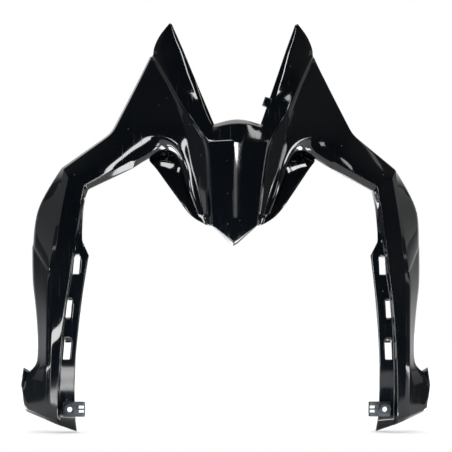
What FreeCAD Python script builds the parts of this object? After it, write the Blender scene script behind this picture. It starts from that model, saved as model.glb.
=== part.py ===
import FreeCAD, Part
import math
import os

# Tail light cover of a scooter: one thin ABS moulding and the two steel clip nuts pushed on its legs.
# Millimetres. X to the side, Y backwards, Z up. The origin lies midway between the two clip nut
# holes, on the front face of the mounting flange.

Vector = FreeCAD.Vector
SAME = 1e-4
doc = FreeCAD.newDocument("tail_light_cover")
sheet = doc.addObject("Spreadsheet::Sheet", "Sizes")

# Sizes that are set by themselves
SIZES = {
    "wall": 2.5,
    "hole_spacing": 271.4,
    "hole_diameter": 7.0,
    "foot_height": 46.0,
    "leg_top": 187.0,
    "shoulder_rise": 206.0,
    "panel_start": 0.17,
    "panel_end": 0.88,
    "beak_facet": 0.6,
    "fin_crown_place": 0.5,
    "fin_crown": 2.4,
    "slot_width": 5.8,
    "slot_length": 15.0,
    "slot_tilt": 4.4,
    "lug_height": 8.5,
    "lug_reach": 4.2,
    "lug_thickness": 2.8,
    "lug_rise": 260.0,
    "clip_sheet": 1.0,
    "clip_clearance": 0.2,
    "clip_height": 12.8,
    "clip_bend_reach": 11.2,
    "clip_plate_reach": 5.2,
    "clip_window_height": 6.2,
    "clip_window_reach": 6.6,
    "barrel_diameter": 10.2,
    "barrel_height": 4.2,
    "thread_bore": 5.2,
    "clip_rear_bore": 7.4,
}

# Height of the shoulder for which the feature lines below are drawn
SHOULDER_DRAWN = 206.0

# Feature lines of the right half. Each station is (x outwards, z up, depth forwards).
# The leg lines start at the bottom edge of the foot and end in the mitre of the shoulder,
# and their x is counted from the axis of the clip nut hole.
LEG_LINES = {
    "leg_rim": (
        (35.8, -2.6, -9.5), (38.8, 0.6, -8.0), (39.4, 6.0, -8.0), (40.9, 20.0, -8.0),
        (33.3, 32.4, -7.5), (28.6, 37.0, -8.5), (26.2, 45.0, -9.5), (26.9, 71.0, -9.0),
        (29.9, 97.0, -10.3), (31.6, 109.4, -11.0), (31.6, 138.4, -15.0), (30.9, 141.2, -12.5),
        (30.6, 150.0, -11.0), (29.8, 160.0, -8.0), (27.0, 176.0, -3.0), (7.9, 206.2, -1.0)),
    "leg_side": (
        (33.2, -3.8, -7.5), (35.5, -1.0, -4.8), (36.0, 5.0, -5.0), (36.4, 20.6, -5.2),
        (30.0, 30.6, -4.6), (25.0, 37.6, -2.0), (23.6, 45.5, -1.0), (23.7, 71.0, -0.5),
        (25.3, 96.0, -0.8), (26.1, 108.0, -1.0), (26.1, 129.0, -5.0), (25.2, 131.0, -2.4),
        (24.1, 143.0, -1.0), (22.4, 155.0, 0.5), (19.0, 176.5, 3.5), (7.7, 206.0, 4.0)),
    "leg_ridge": (
        (20.6, -9.0, -2.0), (21.6, -5.8, 4.0), (20.9, -3.0, 5.0), (20.6, 17.5, 5.8),
        (20.8, 29.8, 6.5), (20.9, 38.0, 7.0), (20.9, 46.0, 7.2), (20.8, 71.0, 8.0),
        (20.8, 96.0, 8.4), (20.7, 106.0, 8.5), (19.7, 117.5, 8.3), (18.9, 120.0, 9.8),
        (17.1, 135.5, 10.3), (14.8, 150.0, 10.5), (10.8, 177.0, 9.5), (7.1, 205.4, 9.5)),
    "leg_crease": (
        (17.0, -10.6, -0.6), (17.2, -6.6, 5.0), (17.2, -3.4, 6.0), (17.2, 17.0, 7.2),
        (17.1, 29.4, 8.1), (17.0, 37.5, 8.7), (16.9, 46.0, 9.0), (16.6, 71.0, 10.0),
        (16.3, 95.5, 10.4), (16.2, 105.5, 10.5), (15.5, 116.5, 10.8), (15.0, 119.0, 11.2),
        (13.8, 134.0, 12.2), (12.1, 148.5, 13.0), (8.1, 176.0, 12.5), (3.5, 198.6, 15.0)),
    "leg_lip": (
        (10.2, -13.4, -0.4), (10.5, -7.9, 5.0), (10.6, -4.4, 6.0), (10.6, 16.5, 7.0),
        (10.0, 29.0, 8.0), (9.6, 37.0, 8.7), (9.2, 45.5, 9.3), (7.3, 70.5, 12.0),
        (4.7, 95.5, 14.9), (2.6, 105.0, 16.0), (1.5, 115.5, 16.8), (1.2, 118.0, 17.1),
        (-0.4, 132.8, 18.0), (-2.4, 146.0, 18.4), (-6.2, 172.5, 17.5), (-10.0, 192.5, 20.0)),
    "leg_root": (
        (8.0, -14.3, -3.0), (8.4, -9.2, 0.0), (8.5, -5.0, 0.0), (8.5, 16.0, 0.0),
        (8.2, 28.6, 1.5), (7.9, 36.5, 2.5), (7.5, 45.0, 3.4), (5.9, 70.0, 6.5),
        (3.6, 95.0, 9.4), (1.0, 104.5, 10.5), (-0.2, 115.0, 11.8), (-0.5, 117.5, 12.1),
        (-1.9, 132.4, 13.8), (-4.6, 145.5, 15.0), (-8.5, 171.5, 12.5), (-13.3, 187.6, 17.0)),
    "leg_flange": (
        (-6.6, -19.3, -3.4), (-5.6, -10.4, 0.0), (-5.0, -6.0, 0.0), (-4.3, 16.0, 0.0),
        (-4.6, 28.6, 1.5), (-4.8, 36.5, 2.5), (-5.1, 45.0, 3.4), (-6.8, 70.0, 6.5),
        (-9.6, 95.0, 9.4), (-10.7, 104.5, 10.5), (-12.3, 115.0, 11.8), (-12.6, 117.5, 12.1),
        (-14.7, 132.4, 13.8), (-8.2, 145.0, 13.0), (-10.2, 171.0, 8.5), (-13.6, 187.2, 8.0)),
}

# Tip of the tab on the outer edge of the foot, with its x from the hole's axis too
FOOT_LINES = {"foot_tab": ((38.8, 35.4, -9.5),)}

# The corner under the horn, where the straight arm from the shoulder ends
CORNER_LINES = {
    "corner_rim": ((103.3, 236.4, 18.0),),
    "corner_side": ((103.2, 236.2, 24.0),),
    "corner_ridge": ((103.0, 236.0, 29.0),),
    "corner_crease": ((92.0, 219.5, 33.5),),
    "corner_lip": ((87.5, 213.0, 31.5),),
    "corner_root": ((85.0, 206.8, 28.0),),
    "corner_flange": ((84.8, 206.6, 17.5),),
}

# The panel above the scoop, from the start of the arch inwards to where it meets the tongue
ARCH_LINES = {
    "panel_crease": ((79.0, 226.5, 36.5), (72.0, 229.0, 38.8), (65.0, 230.5, 41.0),
                     (57.5, 229.6, 43.6), (50.5, 226.0, 46.4), (45.5, 222.0, 48.2)),
    "panel_lip": ((72.0, 220.0, 35.3), (66.0, 223.6, 37.2), (59.5, 225.6, 39.0),
                  (52.8, 223.6, 41.4), (46.8, 217.0, 43.8), (42.6, 209.5, 45.2)),
    "arch_edge": ((70.7, 214.9, 31.5), (65.0, 218.5, 32.0), (58.3, 220.8, 33.0),
                  (53.3, 218.9, 35.0), (48.9, 213.5, 37.5), (45.0, 207.0, 39.8)),
    "arch_back": ((70.5, 215.2, 23.0), (65.0, 219.3, 23.0), (58.3, 221.6, 23.5),
                  (52.9, 219.6, 25.5), (48.3, 214.1, 29.0), (44.3, 207.4, 33.0)),
    "fin_edge": ((71.3, 213.2, 25.0), (66.5, 208.0, 28.5), (62.0, 201.5, 31.0),
                 (57.0, 194.3, 33.0), (52.3, 187.6, 35.0), (48.0, 181.5, 36.5)),
}

# The tongue beside the beak, from the end of the arch down to the end of the pocket
TONGUE_LINES = {
    "tongue_lip": ((39.0, 194.2, 44.4), (33.2, 180.0, 42.3)),
    "tongue_edge": ((41.5, 193.4, 41.0), (36.0, 179.0, 39.6)),
    "tongue_back": ((40.9, 193.6, 36.0), (35.8, 179.2, 36.6)),
    "tongue_end": ((30.4, 168.6, 39.0),),
    "fin_low_edge": ((42.5, 173.7, 38.0), (36.5, 166.5, 38.5), (29.5, 161.8, 38.5)),
}

# The raised centre, from the notch of the horn down to the bottom of the beak
CENTRE_LINES = {
    "valley": (
        (69.7, 301.5, 24.5), (57.5, 278.0, 38.5), (47.3, 255.5, 52.0), (42.5, 236.0, 52.0),
        (40.6, 227.0, 50.2), (37.5, 212.0, 47.0), (32.3, 193.4, 45.0), (28.0, 178.0, 42.0),
        (25.5, 168.0, 40.0), (24.6, 163.3, 39.2), (23.7, 158.8, 38.5)),
    "shoulder": (
        (69.2, 302.8, 25.8), (56.2, 278.4, 40.2), (45.4, 255.8, 54.5), (35.4, 241.8, 59.6),
        (27.6, 229.5, 63.2), (26.1, 212.0, 57.2), (24.7, 193.0, 51.0), (23.2, 178.0, 46.3),
        (22.3, 168.0, 43.2), (21.9, 163.0, 41.8), (21.5, 158.8, 40.6)),
    "front_edge": (
        (68.5, 304.2, 27.2), (54.9, 279.0, 43.2), (43.6, 256.0, 58.0), (34.5, 243.3, 63.6),
        (25.4, 230.2, 69.2), (23.0, 212.0, 63.2), (21.6, 193.0, 57.0), (20.5, 178.0, 52.2),
        (19.8, 168.0, 49.0), (19.4, 163.0, 47.3), (19.0, 158.5, 46.0)),
    "horn_inner": (
        (43.1, 304.0, 40.0), (33.1, 279.0, 49.3), (24.0, 256.0, 58.0), (21.3, 249.2, 60.5),
        (19.7, 245.2, 62.0)),
    "beak_band": (
        (3.5, 231.4, 71.8), (3.5, 212.0, 65.6), (3.5, 193.0, 59.4), (3.5, 178.0, 54.5),
        (3.5, 168.0, 51.2), (3.4, 160.0, 48.6), (3.2, 143.3, 41.2)),
    "beak_ridge": (
        (0.0, 231.5, 72.2), (0.0, 212.0, 66.0), (0.0, 193.0, 59.8), (0.0, 178.0, 54.9),
        (0.0, 168.0, 51.6), (0.0, 160.0, 49.0), (0.0, 141.4, 41.0)),
}

# Top edge of the ledge, outer edge of the horn above its corner, and the horn's tip
TOP_LINES = {
    "ledge_top": ((10.0, 248.4, 63.1), (3.5, 249.3, 63.5), (0.0, 249.5, 63.5)),
    "horn_rim": ((91.3, 259.3, 16.5), (80.2, 280.7, 15.5), (69.9, 301.7, 15.0)),
    "horn_side": ((91.2, 259.2, 22.0), (80.1, 280.6, 20.8), (69.8, 301.6, 19.8)),
    "horn_outer": ((91.0, 259.0, 27.5), (80.0, 280.5, 26.0)),
    "tip_outer": ((68.7, 308.0, 27.2), (64.4, 318.5, 28.0), (58.9, 325.5, 29.0), (54.7, 330.3, 30.0)),
    "tip_inner": ((44.7, 308.0, 38.5), (48.9, 318.5, 34.5), (51.7, 325.5, 31.9), (53.2, 329.4, 30.4)),
}

# First and last station of the runs that curve: the wall beside the beak, the horn's tip, the beak
WALL_CURVE = (5, 7)
TIP_CURVE = (1, 4)
BEAK_CURVE = (1, 3)

# Slots in the flange: x from the hole axis, z
SLOT_PLACES = {"slot_low": (2.6, 50.0), "slot_middle": (1.4, 86.0), "slot_high": (-4.2, 123.2)}


def enter(row, label, values):
    """Write one row of the sheet: a label and its numbers, each with an alias."""
    sheet.set(f"A{row}", label)
    for column, (alias, value) in zip("BCD", values.items()):
        sheet.set(f"{column}{row}", str(value))
        sheet.setAlias(f"{column}{row}", alias)


row = 1
for name, value in SIZES.items():
    enter(row, name, {name: value})
    row += 1
for name, (x, z) in SLOT_PLACES.items():
    enter(row, name, {f"{name}_x": x, f"{name}_z": z})
    row += 1
for lines in (LEG_LINES, FOOT_LINES, CORNER_LINES, ARCH_LINES, TONGUE_LINES, CENTRE_LINES, TOP_LINES):
    for name, stations in lines.items():
        for index, (x, z, depth) in enumerate(stations):
            alias = f"{name}_{index}"
            enter(row, alias, {f"{alias}_x": x, f"{alias}_z": z, f"{alias}_depth": depth})
            row += 1
doc.recompute()


def size(alias):
    return float(sheet.get(alias))


hole_x = size("hole_spacing") / 2
wall = size("wall")
lift = size("shoulder_rise") - SHOULDER_DRAWN


def stretched(z):
    """A height on the leg: the foot stays, the leg stretches, and its top takes the whole lift."""
    share = (z - size("foot_height")) / (size("leg_top") - size("foot_height"))
    return z + lift * min(max(share, 0.0), 1.0)


def carried(z):
    """A height on the upper part, which rides on the legs."""
    return z + lift


def line(lines, name, height=carried, shift=0.0):
    """The stations of a feature line, read from the sheet, as points in the part's frame."""
    points = []
    for index in range(len(lines[name])):
        alias = f"{name}_{index}"
        x, z, depth = (size(f"{alias}_{part}") for part in ("x", "z", "depth"))
        points.append(Vector(shift + x, -depth, height(z)))
    return points


def between(start, end, share):
    return start + (end - start) * share


leg = [line(LEG_LINES, name, stretched, hole_x) for name in LEG_LINES]
foot_tab = line(FOOT_LINES, "foot_tab", stretched, hole_x)
corner = [line(CORNER_LINES, name)[0] for name in CORNER_LINES]
arch = {name: line(ARCH_LINES, name) for name in ARCH_LINES}
tongue = {name: line(TONGUE_LINES, name) for name in TONGUE_LINES}
centre = {name: line(CENTRE_LINES, name) for name in CENTRE_LINES}
top = {name: line(TOP_LINES, name) for name in TOP_LINES}


class Skin:
    """A network of strips between feature lines, which becomes a wall of even thickness."""

    def __init__(self):
        self.strips = []
        self.normals = {}

    @staticmethod
    def key(point):
        return (round(point.x, 4), round(point.y, 4), round(point.z, 4))

    def band(self, rows, spans=None, straight=(), flip=False):
        """Add a grid of points: rows are stations, columns are feature lines.

        Each span of rows makes one strip between neighbouring columns, with a curve through
        its stations, or a straight edge on the columns that are named straight.
        """
        count = len(rows[0])
        for low, high in zip(rows, rows[1:]):
            for column in range(count - 1):
                corners = (low[column], low[column + 1], high[column + 1], high[column])
                across = (corners[3] - corners[1]).cross(corners[2] - corners[0])
                for turn in range(4):
                    ahead = corners[(turn + 1) % 4] - corners[turn]
                    behind = corners[turn - 1] - corners[turn]
                    normal = behind.cross(ahead)
                    if normal.Length < SAME:
                        normal = Vector(across)
                    normal.normalize()
                    self.add_normal(corners[turn], -normal if flip else normal)
        for first, last in spans or [(i, i + 1) for i in range(len(rows) - 1)]:
            for column in range(count - 1):
                pair = []
                for side in (column, column + 1):
                    run = [stations[side] for stations in rows[first:last + 1]]
                    pair.append([run[0], run[-1]] if side in straight else run)
                self.strips.append(pair)

    def add_normal(self, point, normal):
        found = self.normals.setdefault(self.key(point), [])
        found.append(normal)
        if abs(point.x) < SAME:
            found.append(Vector(-normal.x, normal.y, normal.z))

    def inner(self, point):
        """The point of the inner face: one wall behind every face that meets in this point."""
        normals = self.normals[self.key(point)]
        damping = 1e-3
        matrix = FreeCAD.Matrix()
        matrix.A11 = sum(n.x * n.x for n in normals) + damping
        matrix.A12 = matrix.A21 = sum(n.x * n.y for n in normals)
        matrix.A13 = matrix.A31 = sum(n.x * n.z for n in normals)
        matrix.A22 = sum(n.y * n.y for n in normals) + damping
        matrix.A23 = matrix.A32 = sum(n.y * n.z for n in normals)
        matrix.A33 = sum(n.z * n.z for n in normals) + damping
        solver = matrix.inverse()
        shift = Vector()
        for _ in range(3):
            pull = Vector()
            for normal in normals:
                pull += normal * (-wall - normal.dot(shift))
            shift += solver.multVec(pull)
        return point + shift

    @staticmethod
    def edge(points):
        if len(points) == 2:
            return Part.makeLine(points[0], points[1])
        curve = Part.BSplineCurve()
        curve.interpolate(Points=points, Parameters=[float(index) for index in range(len(points))])
        return curve.toShape()

    def face(self, pair):
        """The face between two lines, a triangle where they run together at their end."""
        if (pair[0][-1] - pair[1][-1]).Length < SAME:
            return Part.Face(Part.makePolygon([pair[0][0], pair[1][0], pair[0][-1], pair[0][0]]))
        return Part.makeRuledSurface(self.edge(pair[0]), self.edge(pair[1]))

    def solid(self):
        """Outer faces, inner faces and the rim between them, sewn with their mirror image."""
        faces = []
        borders = {}
        for pair in self.strips:
            backs = [[self.inner(point) for point in points] for points in pair]
            faces += [self.face(pair), self.face(backs)]
            ends = [[pair[0][0], pair[1][0]], [pair[0][-1], pair[1][-1]]]
            for points in pair + ends:
                name = frozenset((self.key(points[0]), self.key(points[-1])))
                borders.setdefault(name, []).append(points)
        for name, uses in borders.items():
            points = uses[0]
            on_middle = all(abs(point.x) < SAME for point in points)
            if len(name) == 2 and len(uses) == 1 and not on_middle:
                back = [self.inner(point) for point in points]
                faces.append(self.face([points, back]))
        mirrored = [face.mirror(Vector(), Vector(1, 0, 0)) for face in faces]
        shell = Part.makeShell(faces + mirrored)
        shell.sewShape()
        solid = Part.makeSolid(shell)
        if solid.Volume < 0:
            solid.reverse()
        return solid


def steps(rows, curve):
    """Spans of one station each, apart from one run of stations that is a single curve."""
    single = [(index, index + 1) for index in range(len(rows) - 1)]
    return single[:curve[0]] + [curve] + single[curve[1]:]


skin = Skin()

# Leg and arm: rim, side, ridge, crease, lip, root and flange edge, from the foot to the horn's corner
leg_rows = [list(stations) for stations in zip(*leg)]
skin.band(leg_rows + [corner])

# Pointed tab on the outer edge of the foot
skin.band([[leg_rows[3][0], leg_rows[4][0]], 2 * foot_tab])

# Panel between the arm, the horn and the arch
panel_shares = (size("panel_start"), size("panel_end"))


def panel_row(outer, valley):
    """A row across the panel, with its two bend lines."""
    return [outer] + [between(outer, valley, share) for share in panel_shares] + [valley]


joint_line = panel_row(corner[2], centre["valley"][3])
arch_rows = []
for index, (crease, lip) in enumerate(zip(arch["panel_crease"], arch["panel_lip"])):
    share = index / (len(arch["panel_lip"]) - 1)
    arch_rows.append([between(joint_line[1], joint_line[2], share), crease, lip,
                      arch["arch_edge"][index], arch["arch_back"][index]])
last_arch = len(arch_rows) - 1
skin.band([corner[2:]] + arch_rows, spans=[(0, 1), (1, last_arch + 1)], straight=(0,))
skin.band([arch_rows[-1][:3], [centre["valley"][3], centre["valley"][4], centre["valley"][5]]])

# Tongue beside the beak, with a lip that runs out in a point
tongue_rows = [[centre["valley"][5]] + arch_rows[-1][2:]]
for index in range(2):
    tongue_rows.append([centre["valley"][6 + index], tongue["tongue_lip"][index],
                        tongue["tongue_edge"][index], tongue["tongue_back"][index]])
tongue_rows.append([centre["valley"][8]] + 3 * tongue["tongue_end"])
skin.band(tongue_rows, spans=[(0, 2), (2, 3)])

# Fin under the arch and the tongue, crowned between its root and its free edge
fin_rows = []
fin_roots = arch["arch_back"] + tongue["tongue_back"] + tongue["tongue_end"]
fin_edges = arch["fin_edge"] + tongue["fin_low_edge"]
for index, (root, edge) in enumerate(zip(fin_roots, fin_edges)):
    swell = size("fin_crown") * math.sin(math.pi * index / (len(fin_roots) - 1))
    fin_rows.append([root, between(root, edge, size("fin_crown_place")) + Vector(0, -swell, 0), edge])
fin_rows.append(centre["valley"][8:])
last_fin = len(fin_roots) - 1
skin.band(fin_rows, spans=[(0, last_arch), (last_arch, last_fin - 1), (last_fin - 1, last_fin),
                           (last_fin, last_fin + 1)])

# Horn panel, with the return along its outer edge
horn_rows = [corner[:2] + joint_line]
horn_outer = top["horn_outer"] + centre["valley"][:1]
for index, outer in enumerate(horn_outer):
    valley = centre["valley"][2 - index]
    horn_rows.append([top["horn_rim"][index], top["horn_side"][index]] + panel_row(outer, valley))
skin.band(horn_rows)

# Raised centre: valley wall and steep edge, inner strip of the horn, and the horn's tip
wall_rows = [list(stations) for stations in zip(centre["valley"], centre["shoulder"], centre["front_edge"])]
skin.band(wall_rows, spans=steps(wall_rows, WALL_CURVE), flip=True)
strip_rows = [list(stations) for stations in zip(centre["front_edge"], centre["horn_inner"])]
skin.band(strip_rows, flip=True)
tip_rows = [strip_rows[0]] + [list(stations) for stations in zip(top["tip_outer"], top["tip_inner"])]
skin.band(tip_rows, spans=steps(tip_rows, TIP_CURVE), straight=(1,))

# Beak and the ledge above it
beak_rows = []
for front, band_edge, ridge in zip(centre["front_edge"][4:], centre["beak_band"], centre["beak_ridge"]):
    beak_rows.append([front, between(front, band_edge, size("beak_facet")), band_edge, ridge])
skin.band(beak_rows, spans=steps(beak_rows, BEAK_CURVE), flip=True)
skin.band([beak_rows[0], [centre["horn_inner"][4]] + top["ledge_top"]])

moulding = skin.solid()

# Slots and clip nut holes, both sides
cutter_depth = 60.0
cutters = []
for side in (1, -1):
    for name in SLOT_PLACES:
        width, length = size("slot_width"), size("slot_length")
        slot = Part.makeBox(width, cutter_depth, length, Vector(-width / 2, -cutter_depth / 2, -length / 2))
        slot.rotate(Vector(), Vector(0, 1, 0), -side * size("slot_tilt"))
        slot.translate(Vector(side * (hole_x + size(f"{name}_x")), 0, stretched(size(f"{name}_z"))))
        cutters.append(slot)
    hole = Part.makeCylinder(size("hole_diameter") / 2, 4 * wall, Vector(side * hole_x, -2 * wall, 0),
                             Vector(0, 1, 0))
    cutters.append(hole)
moulding = moulding.cut(cutters)

# Small lug on the inner edge of the right horn
low, high = centre["horn_inner"][2], centre["horn_inner"][1]
upward = (high - low).normalize()
seat = low + upward * ((carried(size("lug_rise")) - low.z) / upward.z)
inward = Vector(-1, 0, 0) + upward * upward.x
inward.normalize()
forward = upward.cross(inward)
lug = Part.makeBox(size("lug_reach") + wall, size("lug_thickness"), size("lug_height"))
lug.Placement = FreeCAD.Placement(seat - inward * wall - forward * size("lug_thickness"),
                                  FreeCAD.Rotation(inward, forward, upward, "XZY"))
moulding = moulding.fuse(lug)

cover = doc.addObject("Part::Feature", "cover")
cover.Label = "cover"
cover.Shape = moulding.Solids[0]


clip_gap = "(Sizes.wall + Sizes.clip_clearance)"


def primitive(kind, name, **formulas):
    """A Part primitive whose sizes and place are bound to the sheet."""
    item = doc.addObject(f"Part::{kind}", name)
    for field, formula in formulas.items():
        item.setExpression(field.replace("__", ".Base."), formula)
    return item


def plate(name, front):
    """One leg of the clip nut, flat on the flange."""
    return primitive("Box", name, Length="Sizes.clip_bend_reach + Sizes.clip_plate_reach",
                     Width="Sizes.clip_sheet", Height="Sizes.clip_height",
                     Placement__x="Sizes.hole_spacing / 2 - Sizes.clip_bend_reach",
                     Placement__y=front, Placement__z="-Sizes.clip_height / 2")


def upright(name, radius):
    """A cylinder along the bend of the clip nut."""
    return primitive("Cylinder", name, Radius=radius, Height="Sizes.clip_height",
                     Placement__x="Sizes.hole_spacing / 2 - Sizes.clip_bend_reach",
                     Placement__y=f"{clip_gap} / 2", Placement__z="-Sizes.clip_height / 2")


def bore(kind, name, start, **formulas):
    """A round feature on the hole's axis, pointing forwards."""
    item = primitive(kind, name, Placement__x="Sizes.hole_spacing / 2", Placement__y=start, **formulas)
    item.Placement.Rotation = FreeCAD.Rotation(Vector(1, 0, 0), 90)
    return item


front_plate = plate("clip_front_plate", "-Sizes.clip_sheet")
rear_plate = plate("clip_rear_plate", f"{clip_gap}")
bend_round = upright("clip_bend_round", f"{clip_gap} / 2 + Sizes.clip_sheet")
bend_hollow = upright("clip_bend_hollow", f"{clip_gap} / 2")
bend_room = primitive("Box", "clip_bend_room", Length=f"{clip_gap} + 2 * Sizes.clip_sheet",
                      Width=f"{clip_gap} + 2 * Sizes.clip_sheet", Height="Sizes.clip_height",
                      Placement__x="Sizes.hole_spacing / 2 - Sizes.clip_bend_reach",
                      Placement__y="-Sizes.clip_sheet", Placement__z="-Sizes.clip_height / 2")
barrel = bore("Cylinder", "clip_barrel", "-Sizes.clip_sheet / 2", Radius="Sizes.barrel_diameter / 2",
              Height="Sizes.barrel_height + Sizes.clip_sheet / 2")
thread = bore("Cylinder", "clip_thread", f"{clip_gap} / 2", Radius="Sizes.thread_bore / 2",
              Height=f"{clip_gap} / 2 + Sizes.clip_sheet + 2 * Sizes.barrel_height")
rear_bore = bore("Cylinder", "clip_rear_hole", f"{clip_gap} + 2 * Sizes.clip_sheet",
                 Radius="Sizes.clip_rear_bore / 2", Height="2 * Sizes.clip_sheet")
window = primitive("Box", "clip_window", Length="Sizes.clip_window_reach",
                   Width=f"3 * {clip_gap} + 4 * Sizes.clip_sheet", Height="Sizes.clip_window_height",
                   Placement__x="Sizes.hole_spacing / 2 - Sizes.clip_bend_reach"
                                f" - {clip_gap} / 2 - 2 * Sizes.clip_sheet",
                   Placement__y="-Sizes.wall - 2 * Sizes.clip_sheet",
                   Placement__z="-Sizes.clip_window_height / 2")


def combine(kind, name, base, tools):
    """A boolean of the clip nut: the base fused with its tools, or cut by them."""
    group = doc.addObject("Part::MultiFuse", f"{name}_tools" if kind == "Cut" else name)
    group.Shapes = tools if kind == "Cut" else [base] + tools
    if kind == "Fuse":
        return group
    cut = doc.addObject("Part::Cut", name)
    cut.Base = base
    cut.Tool = group
    return cut


bend = combine("Cut", "clip_bend", bend_round, [bend_hollow, bend_room])
blank = combine("Fuse", "clip_blank", bend, [front_plate, rear_plate, barrel])
right_clip = combine("Cut", "clip_nut_right", blank, [thread, rear_bore, window])
right_clip.Label = "clip_nut_right"
left_clip = doc.addObject("Part::Mirroring", "clip_nut_left")
left_clip.Source = right_clip
left_clip.Normal = Vector(1, 0, 0)
left_clip.Label = "clip_nut_left"
doc.recompute()

pieces = (cover, right_clip, left_clip)
for item in doc.Objects:
    if "Invalid" in item.State or "Error" in item.State:
        raise RuntimeError(f"{item.Label} did not rebuild: {item.State}")
for piece in pieces:
    shape = piece.Shape
    if shape.isNull() or not shape.isValid() or len(shape.Solids) != 1:
        raise RuntimeError(f"{piece.Label} is not one valid solid")
    print(piece.Label, f"{shape.Volume:.0f} mm3", shape.BoundBox)

os.makedirs("parts", exist_ok=True)
for piece in pieces:
    piece.Shape.exportStep(f"parts/{piece.Label}.step")
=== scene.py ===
# %% [markdown]
# # A scooter tail light cover
#
# The object is one thin, glossy black moulding: a beaked centre with two upright horns, two arms and
# two long legs that stand on flared feet. A steel clip nut is pushed on the flange of each leg.
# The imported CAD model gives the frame, and this lesson dresses it piece by piece.

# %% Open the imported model
import math

import bmesh
import bpy
from mathutils import Matrix, Vector


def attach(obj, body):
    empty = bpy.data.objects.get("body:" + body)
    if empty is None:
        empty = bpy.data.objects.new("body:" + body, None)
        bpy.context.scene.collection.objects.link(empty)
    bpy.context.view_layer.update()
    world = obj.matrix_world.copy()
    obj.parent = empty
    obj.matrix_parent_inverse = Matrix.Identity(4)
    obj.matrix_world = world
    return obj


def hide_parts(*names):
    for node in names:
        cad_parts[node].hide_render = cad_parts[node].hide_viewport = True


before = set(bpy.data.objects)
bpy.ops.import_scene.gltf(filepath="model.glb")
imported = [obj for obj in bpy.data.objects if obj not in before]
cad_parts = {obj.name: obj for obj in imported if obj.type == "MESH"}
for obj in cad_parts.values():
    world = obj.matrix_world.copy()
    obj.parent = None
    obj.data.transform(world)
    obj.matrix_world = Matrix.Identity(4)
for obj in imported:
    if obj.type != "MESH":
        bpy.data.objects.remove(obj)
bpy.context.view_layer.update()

MM = 0.001
print("CAD nodes:", sorted(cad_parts))

# %% [markdown]
# ## The camera
#
# The picture was taken from far away, a little from the left and a little from above, so the two
# legs look almost parallel. A long lens on a distant camera gives the same flat perspective.
# The aim is a point on the middle plane, and the camera is rolled by a third of a degree.

# %% Camera
AIM = Vector((-2.2, 0.0, 157.0)) * MM
AZIMUTH, ELEVATION, ROLL = -6.39, 1.89, 0.374  # degrees, counted from straight in front
DISTANCE = 5.0  # metres
FRAME_WIDTH = 0.3868  # metres that the picture spans at the aim
SENSOR_WIDTH = 36.0


def put(name, data):
    """A new object at the origin of the scene."""
    item = bpy.data.objects.new(name, data)
    bpy.context.scene.collection.objects.link(item)
    return item


def facing(target, azimuth, elevation, roll, distance):
    """The place of something that looks at the target from these angles in degrees."""
    azimuth, elevation, roll = (math.radians(angle) for angle in (azimuth, elevation, roll))
    outward = Vector((math.sin(azimuth) * math.cos(elevation), -math.cos(azimuth) * math.cos(elevation),
                      math.sin(elevation)))
    turn = (-outward).to_track_quat("-Z", "Y").to_matrix().to_4x4()
    return Matrix.Translation(target + outward * distance) @ turn @ Matrix.Rotation(roll, 4, "Z")


camera_data = bpy.data.cameras.new("studio_camera")
camera_data.sensor_width = SENSOR_WIDTH
camera_data.lens = SENSOR_WIDTH * DISTANCE / FRAME_WIDTH
camera = put("studio_camera", camera_data)
camera.matrix_world = facing(AIM, AZIMUTH, ELEVATION, ROLL, DISTANCE)
bpy.context.scene.camera = camera
print(f"camera lens {camera_data.lens:.0f} mm")

# %% [markdown]
# ## The feature lines
#
# A panel like this is designed as a net of lines: edges, ridges, creases and lips. Each line below is
# a row of stations, and each station is (x outwards, z up, depth towards the viewer) in millimetres.
# Only the right half is written down, because the moulding is symmetric. The leg lines count their x
# from the axis of the clip nut, so the flange stays in place around the nut.

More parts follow.
